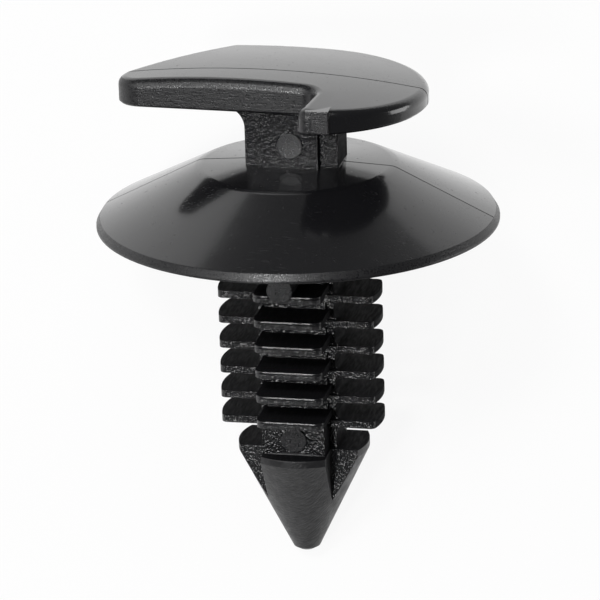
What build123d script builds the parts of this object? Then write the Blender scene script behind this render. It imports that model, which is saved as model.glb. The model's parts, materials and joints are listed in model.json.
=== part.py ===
"""Trim panel retainer: one injection moulding in black nylon.

The push-in shank with its rows of fins goes through a hole in the body
panel, the wide flange seals against the panel, and the hooked head above
it slides into a keyhole slot in the trim panel.

The retainer is drawn standing on its shank axis, with Z = 0 at the
flange's lower rim and +Z towards the head. The mould opens along Y, so
the parting plane is Y = 0. At the end it is laid down as it comes to rest
on a table: on the flange rim and the tip, with its heavier side low.
Lengths are in millimetres and angles in degrees.
"""

import os
from math import atan2, degrees, radians, tan

from build123d import *

# Flange: a shallow umbrella round the shank
FLANGE_RADIUS = 12.5
RIM_HEIGHT = 0.42
RIM_WIDTH = 1.0
RIM_BEVEL = 0.28
SKIRT_ANGLE = 26.5
SKIRT_WALL = 1.2
SHOULDER_RADIUS = 6.1
SHOULDER_RISE = 0.2
SHOULDER_BLEND = 1.2

# Neck between flange and head: a web crossed by a thicker block
NECK_LENGTH = 3.66
NECK_WEB_WIDTH = 5.8
NECK_WEB_THICKNESS = 2.86
NECK_BLOCK_WIDTH = 3.46
NECK_BLOCK_DEPTH = 3.74
NECK_FLARE = 1.3

# Head: a round lobe with a straight back, a beak on its left and a notch
HEAD_THICKNESS = 2.05
HEAD_RADIUS = 6.95
HEAD_OFFSET = 1.3
CROWN_RADIUS = 66.0
CROWN_OFFSET = -3.0
HEAD_TOP_ROUND = 0.55
HEAD_BOTTOM_BEVEL = 0.12
BACK_EDGE_LENGTH = 6.6
BACK_CORNER_ROUND = 0.75
BEAK_EDGE_ANGLE = 50.6
BEAK_ROUND = 1.65
BEAK_FRONT = 2.85
BEAK_FRONT_ANGLE = 3.5
NOTCH_X = 2.0
NOTCH_ROUND = 0.9
LOBE_SIDE_ANGLE = 7.8
LOBE_CORNER_ROUND = 0.65

# Small square pad on the lobe's front, where the melt was fed in
GATE_PAD_SIZE = 1.4
GATE_PAD_PROUD = 0.06
GATE_PAD_X = 2.75

# Shank core: a web crossed by a block, which is deeper above the arrowhead
CORE_WIDTH = 3.84
CORE_DEPTH = 3.36
CORE_FOOT_DEPTH = 6.1
WEB_WIDTH = 4.8
WEB_THICKNESS = 2.86

# Fins: plates to the sides, and between them plates that reach front and back
FIN_ROWS = 7
FIN_PITCH = 1.656
FIN_THICKNESS = 0.46
SIDE_FIN_DROP = 2.72
SIDE_FIN_SPAN = 10.28
SIDE_FIN_DEPTH = 3.48
SIDE_FIN_ROUND = 0.4
SIDE_FIN_ROOT = 0.3
CENTRE_FIN_DROP = 2.01
CENTRE_FIN_WIDTH = 4.3
CENTRE_FIN_DEPTH = 8.7
CENTRE_FIN_ROUND = 0.55

# Arrowhead that opens the hole
ARROW_GAP = 1.48
ARROW_WIDTH = 8.3
ARROW_RIDGE_WIDTH = 4.1
ARROW_LAND = 0.45
ARROW_TAPER = 25.8
TIP_WIDTH = 1.5
TIP_BEVEL = 0.25

# Ejector pin marks: shallow round pads on the front faces
EJECTOR_RADIUS = 0.8
EJECTOR_PROUD = 0.12
NECK_EJECTOR_RISE = 1.43
FIN_EJECTOR_DROP = 3.28
FIN_EJECTOR_X = -0.35
FOOT_EJECTOR_RISE = 1.0

# Turn about the shank axis in which the moulding lies still, with its heavier side low
REST_TURN = -24.5

# Heights along the axis that follow from the sizes above
SHOULDER_Z = RIM_HEIGHT + (FLANGE_RADIUS - SHOULDER_RADIUS) * tan(radians(SKIRT_ANGLE))
HUB_Z = SHOULDER_Z + SHOULDER_RISE
HUB_BOTTOM_Z = SHOULDER_Z - SKIRT_WALL
HEAD_UNDER_Z = HUB_Z + NECK_LENGTH
HEAD_TOP_Z = HEAD_UNDER_Z + HEAD_THICKNESS
HEAD_MIDDLE_Z = (HEAD_UNDER_Z + HEAD_TOP_Z) / 2
LAST_CENTRE_FIN_Z = -CENTRE_FIN_DROP - (FIN_ROWS - 1) * FIN_PITCH
LAST_SIDE_FIN_Z = -SIDE_FIN_DROP - (FIN_ROWS - 1) * FIN_PITCH
ARROW_TOP_Z = LAST_SIDE_FIN_Z - FIN_THICKNESS - ARROW_GAP
LAND_BOTTOM_Z = ARROW_TOP_Z - ARROW_LAND
TIP_Z = LAND_BOTTOM_Z - (ARROW_WIDTH - TIP_WIDTH) / 2 / tan(radians(ARROW_TAPER))


def corner(sketch, place):
    """The corner of a flat outline that lies nearest to a place."""
    return sketch.vertices().sort_by_distance(place)[0]


def flange():
    """The umbrella flange, turned about the shank axis."""
    shoulder = Vector(SHOULDER_RADIUS, 0, SHOULDER_Z)
    rim_top = Vector(FLANGE_RADIUS, 0, RIM_HEIGHT)
    outline = Polyline(
        Vector(0, 0, HUB_Z),
        Vector(NECK_WEB_WIDTH / 2, 0, HUB_Z),
        shoulder,
        rim_top,
        Vector(FLANGE_RADIUS, 0, 0),
        Vector(FLANGE_RADIUS - RIM_WIDTH, 0, 0),
        Vector(SHOULDER_RADIUS, 0, HUB_BOTTOM_Z),
        Vector(0, 0, HUB_BOTTOM_Z),
        close=True,
    )
    profile = make_face(outline)
    profile = fillet(corner(profile, shoulder), SHOULDER_BLEND)
    profile = chamfer(corner(profile, rim_top), RIM_BEVEL)
    return revolve(profile, Axis.Z)


def neck():
    """The neck, from inside the hub to inside the head: a block and a web that flares."""
    height = HEAD_MIDDLE_Z - HUB_BOTTOM_Z
    flare_height = HEAD_MIDDLE_Z - HEAD_UNDER_Z
    middle = (HEAD_MIDDLE_Z + HUB_BOTTOM_Z) / 2
    half = NECK_WEB_WIDTH / 2
    top = Rectangle(NECK_WEB_WIDTH + 4 * NECK_FLARE, flare_height)
    face = Pos(0, middle) * Rectangle(NECK_WEB_WIDTH, height)
    face += Pos(0, (HEAD_MIDDLE_Z + HEAD_UNDER_Z) / 2) * top
    for x in (-half, half):
        face = fillet(corner(face, Vector(x, HEAD_UNDER_Z, 0)), NECK_FLARE)
    web = extrude(Plane.XZ * face, NECK_WEB_THICKNESS / 2, both=True)
    return web + Pos(0, 0, middle) * Box(NECK_BLOCK_WIDTH, NECK_BLOCK_DEPTH, height)


def head_outline():
    """Plan of the head: a round lobe, a straight back, a beak and a notch."""
    edge_slope = tan(radians(BEAK_EDGE_ANGLE))
    front_slope = tan(radians(BEAK_FRONT_ANGLE))
    back_x = HEAD_OFFSET - BACK_EDGE_LENGTH
    notch = Vector(NOTCH_X, -BEAK_FRONT)
    run = (HEAD_RADIUS - notch.Y + edge_slope * (NOTCH_X - back_x)) / (edge_slope + front_slope)
    beak = Vector(NOTCH_X - run, notch.Y + front_slope * run)
    back_corner = Vector(back_x, HEAD_RADIUS)
    lobe_x = NOTCH_X - (HEAD_RADIUS - BEAK_FRONT) * tan(radians(LOBE_SIDE_ANGLE))
    lobe_corner = Vector(lobe_x, -((HEAD_RADIUS**2 - (lobe_x - HEAD_OFFSET) ** 2) ** 0.5))
    back = Vector(HEAD_OFFSET, HEAD_RADIUS)
    right = Vector(HEAD_OFFSET + HEAD_RADIUS, 0)
    edges = Polyline(back, back_corner, beak, notch, lobe_corner)
    plan = make_face(edges + ThreePointArc(lobe_corner, right, back))
    for place, radius in (
        (back_corner, BACK_CORNER_ROUND),
        (beak, BEAK_ROUND),
        (notch, NOTCH_ROUND),
        (lobe_corner, LOBE_CORNER_ROUND),
    ):
        plan = fillet(corner(plan, place), radius)
    return plan


def head():
    """The head plate: flat below and crowned on top, with a soft top edge."""
    poles_sideways = Rot(90, 0, 0)
    crown = Pos(CROWN_OFFSET, 0, HEAD_TOP_Z - CROWN_RADIUS) * poles_sideways * Sphere(CROWN_RADIUS)
    plate = Pos(0, 0, HEAD_UNDER_Z) * extrude(head_outline(), 2 * HEAD_THICKNESS) & crown
    plate = fillet(plate.faces().sort_by(Axis.Z)[-1].edges(), HEAD_TOP_ROUND)
    return chamfer(plate.faces().sort_by(Axis.Z)[0].edges(), HEAD_BOTTOM_BEVEL)


def gate_pad():
    """The pad on the lobe's front wall, a little above the underside."""
    wall_y = (HEAD_RADIUS**2 - (GATE_PAD_X - HEAD_OFFSET) ** 2) ** 0.5
    depth = HEAD_RADIUS / 2
    place = Pos(GATE_PAD_X, depth / 2 - wall_y - GATE_PAD_PROUD, HEAD_MIDDLE_Z - GATE_PAD_SIZE / 6)
    return place * Box(GATE_PAD_SIZE, depth, GATE_PAD_SIZE)


def core():
    """The cross of web and block from the hub into the arrowhead, and its deeper foot."""
    bottom = (ARROW_TOP_Z + LAND_BOTTOM_Z) / 2
    section = Rectangle(CORE_WIDTH, CORE_DEPTH) + Rectangle(WEB_WIDTH, WEB_THICKNESS)
    cross = extrude(section, (SHOULDER_Z + HUB_BOTTOM_Z) / 2 - bottom)
    foot_height = LAST_CENTRE_FIN_Z - FIN_THICKNESS / 2 - bottom
    foot = extrude(Rectangle(CORE_WIDTH, CORE_FOOT_DEPTH), foot_height)
    return Pos(0, 0, bottom) * (cross + foot)


def side_fin():
    """A plate cut from a disc, with soft roots where it leaves the web."""
    plan = Circle(SIDE_FIN_SPAN / 2) & Rectangle(SIDE_FIN_SPAN, SIDE_FIN_DEPTH)
    ends = [place for place in plan.vertices() if abs(place.Y) > SIDE_FIN_DEPTH / 4]
    plate = extrude(fillet(ends, SIDE_FIN_ROUND), -FIN_THICKNESS)
    middle = Pos(0, -FIN_THICKNESS / 2)
    root = middle * Rectangle(WEB_WIDTH + 4 * SIDE_FIN_ROOT, FIN_THICKNESS)
    root += middle * Rectangle(WEB_WIDTH, FIN_PITCH)
    for x in (-WEB_WIDTH / 2, WEB_WIDTH / 2):
        for z in (0, -FIN_THICKNESS):
            root = fillet(corner(root, Vector(x, z, 0)), SIDE_FIN_ROOT)
    return plate + extrude(Plane.XZ * root, WEB_THICKNESS / 2, both=True)


def centre_fin():
    """A plate with rounded corners that reaches out in front of the core and behind it."""
    plan = RectangleRounded(CENTRE_FIN_WIDTH, CENTRE_FIN_DEPTH, CENTRE_FIN_ROUND)
    return extrude(plan, -FIN_THICKNESS)


def fins():
    """Both kinds of fin in turn, evenly spaced down the shank."""
    rows = []
    for fin, first_drop in ((side_fin(), SIDE_FIN_DROP), (centre_fin(), CENTRE_FIN_DROP)):
        rows += [Pos(0, 0, -first_drop - number * FIN_PITCH) * fin for number in range(FIN_ROWS)]
    return rows


def arrowhead():
    """A cone with a short upright land, cut to a cross of ridge and arms."""
    tip_edge = Vector(TIP_WIDTH / 2, 0, TIP_Z)
    outline = Polyline(
        Vector(0, 0, ARROW_TOP_Z),
        Vector(ARROW_WIDTH / 2, 0, ARROW_TOP_Z),
        Vector(ARROW_WIDTH / 2, 0, LAND_BOTTOM_Z),
        tip_edge,
        Vector(0, 0, TIP_Z),
        close=True,
    )
    profile = make_face(outline)
    cone = revolve(chamfer(corner(profile, tip_edge), TIP_BEVEL), Axis.Z)
    cross = Rectangle(ARROW_RIDGE_WIDTH, ARROW_WIDTH) + Rectangle(ARROW_WIDTH, SIDE_FIN_DEPTH)
    return cone & Pos(0, 0, TIP_Z) * extrude(cross, ARROW_TOP_Z - TIP_Z)


def ejector_marks():
    """The round marks on the neck, among the upper fins and above the arrowhead."""
    places = (
        (0, NECK_BLOCK_DEPTH, HUB_Z + NECK_EJECTOR_RISE),
        (FIN_EJECTOR_X, CENTRE_FIN_DEPTH, -FIN_EJECTOR_DROP),
        (0, CORE_FOOT_DEPTH, ARROW_TOP_Z + FOOT_EJECTOR_RISE),
    )
    marks = []
    for x, depth, z in places:
        front = Plane((x, -depth / 2 - EJECTOR_PROUD, z), x_dir=(1, 0, 0), z_dir=(0, 1, 0))
        marks.append(extrude(front * Circle(EJECTOR_RADIUS), depth / 2))
    return marks


def retainer():
    """The whole moulding, standing on its axis."""
    pieces = [flange(), neck(), head(), gate_pad(), core(), arrowhead()]
    return Part() + pieces + fins() + ejector_marks()


def resting_place(body):
    """The place that lays the retainer on its rim and tip, rolled to REST_TURN, on Z = 0."""
    lean = degrees(atan2(FLANGE_RADIUS - TIP_WIDTH / 2, -TIP_Z))
    turned = Rot(lean - 90, 0, 0) * Rot(0, 0, REST_TURN)
    box = (turned * body).bounding_box()
    return Pos(-box.center().X, -box.center().Y, -box.min.Z) * turned


os.makedirs("parts", exist_ok=True)
moulding = retainer()
export_step(resting_place(moulding) * moulding, "parts/retainer.step")
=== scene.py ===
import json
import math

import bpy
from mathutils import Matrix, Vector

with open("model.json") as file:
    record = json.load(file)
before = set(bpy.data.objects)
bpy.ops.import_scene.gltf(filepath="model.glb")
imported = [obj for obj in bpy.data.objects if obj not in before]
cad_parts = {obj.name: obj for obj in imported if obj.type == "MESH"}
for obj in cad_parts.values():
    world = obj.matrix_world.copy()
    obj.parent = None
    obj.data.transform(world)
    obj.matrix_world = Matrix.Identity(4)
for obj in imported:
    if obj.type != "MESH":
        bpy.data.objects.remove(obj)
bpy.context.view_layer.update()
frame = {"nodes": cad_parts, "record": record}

# The looks of a trim panel retainer, one moulding in black nylon, lying on a plain pale floor.
# It lies on its flange's rim and its tip, so most places here are worked out in the part's own
# upright axes: origin at the centre of the rim's lower edge, Z from the tip to the head, X along
# the head and Y to its back. The record's two mounts give those axes.

MM = 0.001

# The photograph's camera, in the part's upright axes. Angles are in degrees.
PHOTO_SIZE = 600
CAMERA_AZIMUTH = 12.2            # from the front towards +X
CAMERA_ELEVATION = 18.06
CAMERA_ROLL = -1.6
CAMERA_DISTANCE = 230.0 * MM
FOCAL_PIXELS = 3711.0
ORIGIN_PIXEL = (298.2, 218.1)    # where the part's origin falls in the photograph
SENSOR_WIDTH = 36.0
CLIP_START = 0.01                # metres

# The studio's paper is darkest in this direction of the part's upright axes, in degrees.
SKY_AZIMUTH = 18.7
SKY_ELEVATION = 28.1

# How bright the paper is on the way from the side opposite to that direction, 0, to it, 1.
PAPER_LEVELS = ((0.17, 0.95), (0.3, 0.62), (0.4, 0.3), (0.5, 0.24),
                (0.56, 0.14), (0.68, 0.09), (0.85, 0.06), (1.0, 0.05))

# Lamps: name, azimuth and elevation in degrees, distance and size in metres, power in watts.
LAMPS = (("left_softbox", -44, 24, 0.62, 0.4, 0.7),
         ("right_softbox", 106, 3, 0.61, 0.3, 0.8),
         ("front_softbox", 12, 62, 0.6, 0.3, 0.5),
         ("key_lamp", -12, 4, 0.6, 0.08, 1.5),
         ("rim_lamp", -8, 40, 0.6, 0.12, 1.5))

# The floor, in metres. In a reflection it shines fully near the part and less further off.
FLOOR_RADIUS = 0.6
FLOOR_CORNERS = 96
FLOOR_FADE = (28 * MM, 100 * MM)
FAR_FLOOR_SHINE = 0.3
FLOOR_GLOW = 0.92                # share of the floor's colour that glows, the rest takes the shadow

# Colours as sRGB.
NYLON_BLACK = "151517"
FLOOR_WHITE = "F2F2F2"
PAPER_WHITE = "FFFFFF"

# Shine of the nylon. A roughness pair is for the low and the high end of a pattern.
NYLON_IOR = 1.53
POLISH_ROUGHNESS = 0.17
POLISH_COAT = 0.5
POLISH_COAT_ROUGHNESS = 0.08
PARTING_ROUGHNESS = 0.8
SPARK_ROUGHNESS = 0.24
FIN_ROUGHNESS = (0.12, 0.3)      # smooth upper edge, grain below it
GRIND_ROUGHNESS = (0.26, 0.46)
SATIN_ROUGHNESS = (0.55, 0.75)
CUTTER_ROUGHNESS = (0.34, 0.5)
SPECULAR_FULL = 0.5
SPECULAR_NECK_PAINTED_SHADE = 0.27             # painted shade under the head: a lower shine, matched to the photograph, where the neck shines less
SPECULAR_SATIN = 0.04

# Finishes, in millimetres. Spark grain and grinding lines are finer on a real mould than a
# picture this size can show, so they are drawn as coarse as they need to be to show.
SPARK_GRAIN = 0.15               # size of the pits that spark erosion left in the mould
SPARK_DEPTH = 0.085
SPARK_TURN = (0.6, 0.4, 0.5)     # radians, so that no face cuts the grain along its own grid
TOOL_MARK_PITCH = 0.13           # fine cutter marks on the arrowhead
TOOL_MARK_DEPTH = 0.032
TOOL_MARK_SLANT = math.radians(35)
WEAR_PATCH = 0.5                 # patches of more and less gloss between the cutter marks
DRAW_STREAK = 0.12               # streaks on the fins along the way the mould opens
DRAW_DEPTH = 0.01
GRIND_LINE = 0.09                # lines that a grinding wheel left in the mould's narrow walls
GRIND_DEPTH = 0.012
WAVE_LENGTH = 2.5                # slight waves in the polished faces
WAVE_DEPTH = 0.012
SPECK_SIZE = 0.35                # dull specks in the polished faces
SCUFF_WIDTH = 0.12               # faint scuffs on the polished faces
SCUFF_PATCH = 3.5
PARTING_LINE = 0.08              # half the width of the line where the mould's halves met
PARTING_CORE = PARTING_LINE / 3
PARTING_DEPTH = 0.03
EDGE_SOFTNESS = 0.1              # radius that the mould leaves on every edge
FIN_SOFTNESS = 0.15              # the fins' upper edges are rounder
FIN_GRAIN_START = 1.3 * FIN_SOFTNESS
GRAIN_SOFTNESS = EDGE_SOFTNESS / 4
BEVEL_SAMPLES = 6
DOME_RISE = 0.38                 # how far the flange's hub seems to rise towards the neck

# A pattern's scale along its streaks, against 1 across them.
SCUFF_ALONG = 0.12
DRAW_ALONG = 0.15
GRIND_ALONG = 0.12
TOOL_MARK_ALONG = 0.35

# Where in the range of a noise a pattern starts and where it is full.
SPECK_SPAN = (0.66, 0.74)
SCUFF_SPAN = (0.56, 0.7)
SCUFF_PATCH_SPAN = (0.52, 0.64)
GRIND_SPAN = (0.35, 0.65)
SATIN_SPAN = (0.3, 0.7)
WEAR_SPAN = (0.3, 0.7)
SPECK_DULLNESS = 0.25            # roughness that a speck adds
SCUFF_DULLNESS = 0.14

# Heights and radii of the part in its upright axes, in millimetres.
HUB_TOP = 3.9
HEAD_UNDERSIDE = 7.4
ARROW_TOP = -14.5
ARM_FRONT = 1.8                  # the arms of the arrowhead reach no further forward than this
HUB_RADIUS = 6.1
NECK_RADIUS = 2.9
RIM_TOP = 0.75
RIM_INSIDE = 11.0                # radius inside which the flange has no rim
PAD_RIGHT = 3.5                  # right edge of the gate pad, where the ground front wall ends
FIN_FRONT = 3.7                  # only the centre fins reach further forward than this
CENTRE_FIN_DROP = 2.01           # from the flange's lower rim to the first centre fin
FIN_PITCH = 1.656

# Ejector pin marks: x, z and the depth of the face that each stands on.
EJECTOR_MARKS = ((0.0, 5.24, 1.9), (-0.35, -3.28, 4.4), (0.0, -13.6, 3.1))
EJECTOR_RADIUS = 0.8

# How far a facet's normal lies along an axis, from 0 to 1, where one finish meets the next.
SQUARE_TO_FRONT = 0.97           # flat fronts and backs, as against the flange's slope
EDGE_ON = 0.4                    # below this a facet of neck or shank looks up, down or sideways
ARROW_LEDGE = 0.5                # above this a facet of the arrowhead looks up
HEAD_DOWN = 0.9                  # the head's flat underside
HEAD_WALL = 0.8                  # below this a facet of the head is wall, above it crown
RIM_WALL = 0.85                  # below this a facet near the rim is its wall


def linear(hex_colour):
    """An sRGB hex colour as the linear RGBA that Blender's sockets want."""
    channels = [int(hex_colour[i:i + 2], 16) / 255 for i in (0, 2, 4)]
    return [c / 12.92 if c <= 0.04045 else ((c + 0.055) / 1.055) ** 2.4 for c in channels] + [1.0]


def part_axes():
    """The matrix that takes the part's upright axes to the frame, from the record's mounts."""
    mounts = {mount["name"]: mount for mount in frame["record"]["mounts"]}
    up = -Vector(mounts["panel_hole"]["axis"])
    right = -Vector(mounts["trim_slot"]["axis"])
    axes = Matrix((right, up.cross(right), up)).transposed().to_4x4()
    axes.translation = Vector(mounts["panel_hole"]["pos_m"])
    return axes


def add(tree, kind, settings=(), **links):
    """Adds a node.

    Settings are its properties. Links are its inputs, by name or as i0, i1 and so on by number,
    and each is a value or another node's output.
    """
    node = tree.nodes.new(kind)
    for name, value in dict(settings).items():
        setattr(node, name, value)
    for name, value in links.items():
        by_number = name[0] == "i" and name[1:].isdigit()
        socket = node.inputs[int(name[1:]) if by_number else name.replace("_", " ")]
        if isinstance(value, bpy.types.NodeSocket):
            tree.links.new(value, socket)
        else:
            socket.default_value = value
    return node


def new_tree(owner):
    """The owner's node tree, emptied."""
    owner.use_nodes = True
    owner.node_tree.nodes.clear()
    return owner.node_tree


def part_place(tree):
    """Where a point of the surface is in the part's upright axes, in millimetres."""
    to_part = part_axes().inverted()
    coordinates = add(tree, "ShaderNodeTexCoord").outputs["Object"]
    turned = add(tree, "ShaderNodeMapping", Vector=coordinates, Scale=(1 / MM,) * 3,
                 Location=to_part.translation / MM, Rotation=to_part.to_euler())
    return turned.outputs["Vector"]


def noise(tree, place, size, **settings):
    """Smooth noise from 0 to 1 with features of about this size in millimetres."""
    return add(tree, "ShaderNodeTexNoise", Vector=place, Scale=1 / size, **settings).outputs["Fac"]


def blend(tree, value, low, high, start=0.0, end=1.0):
    """Turns a value that runs from start to end into one that runs from low to high."""
    ramp = add(tree, "ShaderNodeMapRange", {"interpolation_type": "SMOOTHSTEP"}, Value=value,
               From_Min=start, From_Max=end, To_Min=low, To_Max=high)
    return ramp.outputs["Result"]


def relief(tree, height, depth, normal):
    """A normal bent by a height from 0 to 1 that is this deep in millimetres."""
    bump = add(tree, "ShaderNodeBump", Height=height, Distance=depth * MM, Strength=1.0,
               Normal=normal)
    return bump.outputs["Normal"]


def nylon(name, finish, softness, **settings):
    """Black nylon. finish(tree, place, normal) gives the inputs that vary over the surface."""
    material = bpy.data.materials.new(name)
    tree = new_tree(material)
    bevel = add(tree, "ShaderNodeBevel", {"samples": BEVEL_SAMPLES}, Radius=softness * MM)
    settings.update(finish(tree, part_place(tree), bevel.outputs["Normal"]))
    shader = add(tree, "ShaderNodeBsdfPrincipled", Base_Color=linear(NYLON_BLACK), IOR=NYLON_IOR,
                 **settings)
    add(tree, "ShaderNodeOutputMaterial", Surface=shader.outputs["BSDF"])
    return material


def hub_dome(tree, place, normal):
    """Bends the light on the flange's hub as if it rose a little towards the neck."""
    flat = add(tree, "ShaderNodeMapping", Vector=place, Scale=(1.0, 1.0, 0.0)).outputs["Vector"]
    radius = add(tree, "ShaderNodeVectorMath", {"operation": "LENGTH"}, i0=flat).outputs["Value"]
    rise = add(tree, "ShaderNodeMapRange", Value=radius, From_Min=NECK_RADIUS, From_Max=HUB_RADIUS,
               To_Min=1.0, To_Max=0.0).outputs["Result"]
    height = add(tree, "ShaderNodeSeparateXYZ", Vector=place).outputs["Z"]
    below_head = add(tree, "ShaderNodeMath", {"operation": "LESS_THAN"}, i0=height, i1=HUB_TOP)
    rise = add(tree, "ShaderNodeMath", {"operation": "MULTIPLY"}, i0=rise,
               i1=below_head.outputs[0]).outputs[0]
    return relief(tree, rise, DOME_RISE, normal)


def scuffs(tree, place):
    """How much duller the polish is where other retainers rubbed it: short streaks in patches."""
    along = add(tree, "ShaderNodeMapping", Vector=place, Scale=(SCUFF_ALONG, 1.0, 1.0))
    streaks = noise(tree, along.outputs["Vector"], SCUFF_WIDTH, Detail=2.0)
    streaks = blend(tree, streaks, 0.0, SCUFF_DULLNESS, *SCUFF_SPAN)
    patches = blend(tree, noise(tree, place, SCUFF_PATCH), 0.0, 1.0, *SCUFF_PATCH_SPAN)
    return add(tree, "ShaderNodeMath", {"operation": "MULTIPLY"}, i0=streaks, i1=patches).outputs[0]


def polished(tree, place, normal):
    """Mirror-like, a little wavy, with dull specks and the dark line where the halves met."""
    off_plane = add(tree, "ShaderNodeSeparateXYZ", Vector=place).outputs["Y"]
    distance = add(tree, "ShaderNodeMath", {"operation": "ABSOLUTE"}, i0=off_plane).outputs[0]
    clear = blend(tree, distance, 0.0, 1.0, PARTING_CORE, PARTING_LINE)
    line = blend(tree, clear, PARTING_ROUGHNESS, POLISH_ROUGHNESS)
    specks = noise(tree, place, SPECK_SIZE, Detail=3.0)
    specks = blend(tree, specks, 0.0, SPECK_DULLNESS, *SPECK_SPAN)
    dull = add(tree, "ShaderNodeMath", {"operation": "ADD"}, i0=line, i1=specks)
    dull = add(tree, "ShaderNodeMath", {"operation": "ADD"}, i0=dull.outputs[0],
               i1=scuffs(tree, place))
    coat = add(tree, "ShaderNodeMath", {"operation": "MULTIPLY"}, i0=clear, i1=POLISH_COAT)
    waves = noise(tree, place, WAVE_LENGTH, Detail=1.0)
    wavy = relief(tree, waves, WAVE_DEPTH, hub_dome(tree, place, normal))
    return {"Roughness": dull.outputs[0], "Coat_Weight": coat.outputs[0],
            "Normal": relief(tree, clear, PARTING_DEPTH, wavy)}


def spark_grain(tree, place):
    """The height of the grain. It is turned, so that no face cuts the noise along its grid."""
    askew = add(tree, "ShaderNodeMapping", Vector=place, Rotation=SPARK_TURN).outputs["Vector"]
    return noise(tree, askew, SPARK_GRAIN, Detail=1.0)


def spark_eroded(tree, place, normal):
    """Sparkling grain, the print of a mould face finished by spark erosion."""
    return {"Roughness": SPARK_ROUGHNESS,
            "Normal": relief(tree, spark_grain(tree, place), SPARK_DEPTH, normal)}


def fin_front(tree, place, normal):
    """The same grain on the centre fins' fronts, but smooth and bright along the upper edges."""
    height = add(tree, "ShaderNodeSeparateXYZ", Vector=place).outputs["Z"]
    drop = add(tree, "ShaderNodeMath", {"operation": "SUBTRACT"}, i0=-CENTRE_FIN_DROP, i1=height)
    drop = add(tree, "ShaderNodeMath", {"operation": "MODULO"}, i0=drop.outputs[0], i1=FIN_PITCH)
    grainy = blend(tree, drop.outputs[0], 0.0, 1.0, FIN_SOFTNESS, FIN_GRAIN_START)
    grain = add(tree, "ShaderNodeMath", {"operation": "MULTIPLY"}, i0=spark_grain(tree, place),
                i1=grainy)
    return {"Roughness": blend(tree, grainy, *FIN_ROUGHNESS),
            "Normal": relief(tree, grain.outputs[0], SPARK_DEPTH, normal)}


def ground(tree, place, normal):
    """Softer gloss on the narrow walls, with fine lines round the part and worn, speckled light."""
    along = add(tree, "ShaderNodeMapping", Vector=place, Scale=(GRIND_ALONG, GRIND_ALONG, 1.0))
    lines = noise(tree, along.outputs["Vector"], GRIND_LINE, Detail=3.0)
    worn = noise(tree, place, GRIND_LINE, Detail=2.0)
    normal = relief(tree, worn, GRIND_DEPTH, relief(tree, lines, GRIND_DEPTH, normal))
    return {"Roughness": blend(tree, worn, *GRIND_ROUGHNESS, *GRIND_SPAN), "Normal": normal}


def satin(tree, place, normal):
    """Dull and dark, faintly streaked as it slid out of the mould."""
    drawn = add(tree, "ShaderNodeMapping", Vector=place, Scale=(1.0, DRAW_ALONG, 1.0))
    streaks = noise(tree, drawn.outputs["Vector"], DRAW_STREAK, Detail=2.0)
    return {"Roughness": blend(tree, streaks, *SATIN_ROUGHNESS, *SATIN_SPAN),
            "Normal": relief(tree, streaks, DRAW_DEPTH, normal)}


def cutter_marked(tree, place, normal):
    """Soft gloss broken by the fine slanting marks of the cutter that shaped the mould."""
    turned = add(tree, "ShaderNodeMapping", Vector=place, Rotation=(0.0, TOOL_MARK_SLANT, 0.0))
    along = add(tree, "ShaderNodeMapping", Vector=turned.outputs["Vector"],
                Scale=(TOOL_MARK_ALONG, 1.0, 1.0))
    marks = noise(tree, along.outputs["Vector"], TOOL_MARK_PITCH, Detail=2.0)
    wear = noise(tree, place, WEAR_PATCH, Detail=3.0)
    return {"Roughness": blend(tree, wear, *CUTTER_ROUGHNESS, *WEAR_SPAN),
            "Normal": relief(tree, marks, TOOL_MARK_DEPTH, normal)}


def dress(node):
    """Gives each facet of the moulding the finish that its part of the mould had."""
    finishes = {
        # Polished steel: clear reflections under a thin gloss, on head and flange.
        "gloss": nylon("nylon_polished", polished, EDGE_SOFTNESS,
                       Coat_Roughness=POLISH_COAT_ROUGHNESS),
        # Ground steel: broken, softer highlights on the head's front walls, rim and ejector marks.
        "ground": nylon("nylon_ground", ground, EDGE_SOFTNESS),
        # Spark eroded steel: a bright edge over a sparkling face, on the centre fins.
        "fin front": nylon("nylon_fin_front", fin_front, FIN_SOFTNESS,
                           Specular_IOR_Level=SPECULAR_FULL),
        # Spark eroded steel: many small glints on the neck, dimmed by a lower shine as painted
        # shade under the head.
        "neck grain painted shade": nylon("nylon_neck_grain_painted_shade", spark_eroded, GRAIN_SOFTNESS,
                            Specular_IOR_Level=SPECULAR_NECK_PAINTED_SHADE),
        # Spark eroded steel: many small bright glints on the shank and the arrowhead's arms.
        "shank grain": nylon("nylon_shank_grain", spark_eroded, GRAIN_SOFTNESS,
                             Specular_IOR_Level=SPECULAR_FULL),
        # Satin: nearly no reflection, on the head's underside and on what looks up, down or
        # sideways on the neck, the shank and its fins.
        "dull": nylon("nylon_satin", satin, EDGE_SOFTNESS, Specular_IOR_Level=SPECULAR_SATIN),
        # Milled steel: a soft highlight broken by slanting marks, on the arrowhead's cone.
        "marked": nylon("nylon_cutter_marked", cutter_marked, EDGE_SOFTNESS),
    }
    node.data.materials.clear()
    for material in finishes.values():
        node.data.materials.append(material)
    slots = {name: slot for slot, name in enumerate(finishes)}
    to_part = part_axes().inverted()
    for facet in node.data.polygons:
        place = (to_part @ facet.center) / MM
        facing = to_part.to_3x3() @ facet.normal
        facet.material_index = slots[finish_at(place, facing)]


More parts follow.
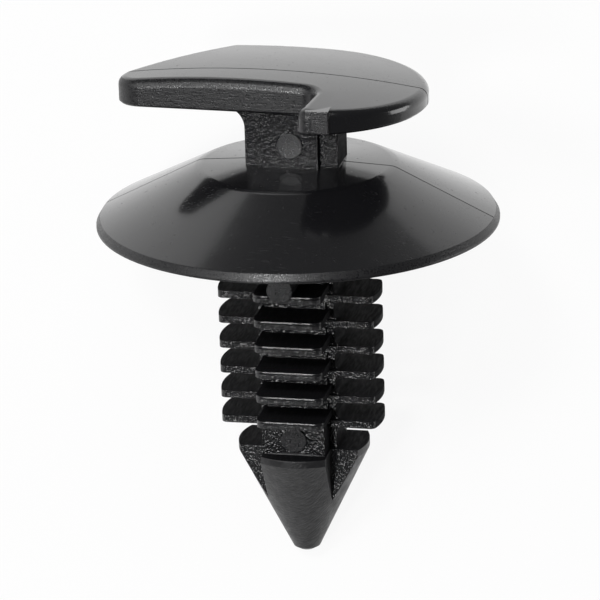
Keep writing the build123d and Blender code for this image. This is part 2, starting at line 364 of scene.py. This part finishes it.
def finish_at(place, facing):
    """The finish of a facet, from where it is and which way it faces in the part's upright axes."""
    x, y, z = place
    for mark_x, mark_z, depth in EJECTOR_MARKS:
        if y < -depth and math.hypot(x - mark_x, z - mark_z) < EJECTOR_RADIUS:
            return "ground"
    if z < ARROW_TOP:
        if abs(facing.y) > SQUARE_TO_FRONT and abs(y) < ARM_FRONT:
            return "shank grain"
        return "marked" if facing.z < ARROW_LEDGE else "dull"
    if z > HEAD_UNDERSIDE:
        if facing.z < -HEAD_DOWN:
            return "dull"
        return "ground" if abs(facing.z) < HEAD_WALL and y < 0 and x < PAD_RIGHT else "gloss"
    if z < RIM_TOP and math.hypot(x, y) > RIM_INSIDE and facing.z < RIM_WALL:
        return "ground"
    if 0 <= z < HUB_TOP and abs(facing.y) < SQUARE_TO_FRONT:
        return "gloss"
    if abs(facing.y) < EDGE_ON:
        return "dull"
    if z > 0:
        # the neck's grain shines less, as painted shade under the head
        return "neck grain painted shade"
    return "fin front" if abs(y) > FIN_FRONT else "shank grain"


def floor():
    """A pale floor that keeps the shadow. In a reflection it is less bright further off."""
    bpy.ops.mesh.primitive_circle_add(vertices=FLOOR_CORNERS, radius=FLOOR_RADIUS,
                                      fill_type="NGON")
    sheet = bpy.context.object
    sheet.name = "floor"
    material = bpy.data.materials.new("white_card")
    tree = new_tree(material)
    rays = add(tree, "ShaderNodeLightPath").outputs
    place = add(tree, "ShaderNodeTexCoord").outputs["Object"]
    distance = add(tree, "ShaderNodeVectorMath", {"operation": "LENGTH"}, i0=place).outputs["Value"]
    mirrored = add(tree, "ShaderNodeMath", {"operation": "MULTIPLY"}, i0=rays["Is Glossy Ray"],
                   i1=blend(tree, distance, 1.0, FAR_FLOOR_SHINE, *FLOOR_FADE))
    seen = add(tree, "ShaderNodeMath", {"operation": "MAXIMUM"}, i0=rays["Is Camera Ray"],
               i1=mirrored.outputs[0])
    seen = add(tree, "ShaderNodeMath", {"operation": "MAXIMUM"}, i0=seen.outputs[0],
               i1=rays["Is Transmission Ray"])
    share = add(tree, "ShaderNodeMath", {"operation": "MULTIPLY"}, i0=seen.outputs[0],
                i1=FLOOR_GLOW)
    card = add(tree, "ShaderNodeBsdfDiffuse", Color=linear(FLOOR_WHITE))
    glow = add(tree, "ShaderNodeEmission", Color=linear(PAPER_WHITE), Strength=1.0)
    mix = add(tree, "ShaderNodeMixShader", i0=share.outputs[0], i1=card.outputs[0],
              i2=glow.outputs[0])
    add(tree, "ShaderNodeOutputMaterial", Surface=mix.outputs[0])
    sheet.data.materials.append(material)


def direction(azimuth, elevation):
    """A direction in the part's upright axes, from degrees: azimuth from the front towards +X."""
    azimuth, elevation = math.radians(azimuth), math.radians(elevation)
    return Vector((math.sin(azimuth) * math.cos(elevation),
                   -math.cos(azimuth) * math.cos(elevation), math.sin(elevation)))


def lamp(name, azimuth, elevation, distance, size, power):
    """A soft square lamp that looks at the part's origin."""
    data = bpy.data.lights.new(name, "AREA")
    data.size = size
    data.energy = power
    holder = bpy.data.objects.new(name, data)
    bpy.context.scene.collection.objects.link(holder)
    towards = direction(azimuth, elevation)
    turned = (-towards).to_track_quat("-Z", "Y").to_matrix().to_4x4()
    turned.translation = towards * distance
    holder.matrix_world = part_axes() @ turned


def studio():
    """White paper all round, darker on the side that the camera looks from, and five lamps."""
    world = bpy.data.worlds.new("studio")
    bpy.context.scene.world = world
    tree = new_tree(world)
    rays = add(tree, "ShaderNodeLightPath").outputs
    seen = add(tree, "ShaderNodeTexCoord").outputs["Generated"]
    darkest = part_axes().to_3x3() @ direction(SKY_AZIMUTH, SKY_ELEVATION)
    towards = add(tree, "ShaderNodeVectorMath", {"operation": "DOT_PRODUCT"}, i0=seen, i1=darkest)
    share = add(tree, "ShaderNodeMapRange", Value=towards.outputs["Value"],
                From_Min=-1.0, From_Max=1.0)
    ramp = add(tree, "ShaderNodeValToRGB", i0=share.outputs["Result"])
    elements = ramp.color_ramp.elements
    while len(elements) < len(PAPER_LEVELS):
        elements.new(0.5)
    for element, (place, level) in zip(elements, PAPER_LEVELS):
        element.position = place
        element.color = (level, level, level, 1.0)
    surroundings = add(tree, "ShaderNodeBackground", Color=ramp.outputs["Color"], Strength=1.0)
    white = add(tree, "ShaderNodeBackground", Color=linear(PAPER_WHITE), Strength=1.0)
    mix = add(tree, "ShaderNodeMixShader", i0=rays["Is Camera Ray"], i1=surroundings.outputs[0],
              i2=white.outputs[0])
    add(tree, "ShaderNodeOutputWorld", Surface=mix.outputs[0])
    for name, *placing in LAMPS:
        lamp(name, *placing)


def camera():
    """The photograph's camera, turned so that its centre falls on the photograph's centre."""
    azimuth, roll = math.radians(CAMERA_AZIMUTH), math.radians(CAMERA_ROLL)
    towards = direction(CAMERA_AZIMUTH, CAMERA_ELEVATION)
    level = Vector((math.cos(azimuth), math.sin(azimuth), 0.0))
    upright = towards.cross(level)
    right = level * math.cos(roll) + upright * math.sin(roll)
    up = upright * math.cos(roll) - level * math.sin(roll)
    across = (PHOTO_SIZE / 2 - ORIGIN_PIXEL[0]) / FOCAL_PIXELS
    down = (PHOTO_SIZE / 2 - ORIGIN_PIXEL[1]) / FOCAL_PIXELS
    back = (towards - right * across + up * down).normalized()
    side = up.cross(back).normalized()
    turned = Matrix((side, back.cross(side), back)).transposed().to_4x4()
    turned.translation = towards * CAMERA_DISTANCE
    data = bpy.data.cameras.new("photo_camera")
    data.sensor_width = SENSOR_WIDTH
    data.lens = FOCAL_PIXELS / PHOTO_SIZE * SENSOR_WIDTH
    data.clip_start = CLIP_START
    holder = bpy.data.objects.new("photo_camera", data)
    bpy.context.scene.collection.objects.link(holder)
    holder.matrix_world = part_axes() @ turned
    bpy.context.scene.camera = holder


dress(frame["nodes"]["retainer"])
floor()
studio()
camera()
bpy.context.scene.view_settings.view_transform = "Standard"
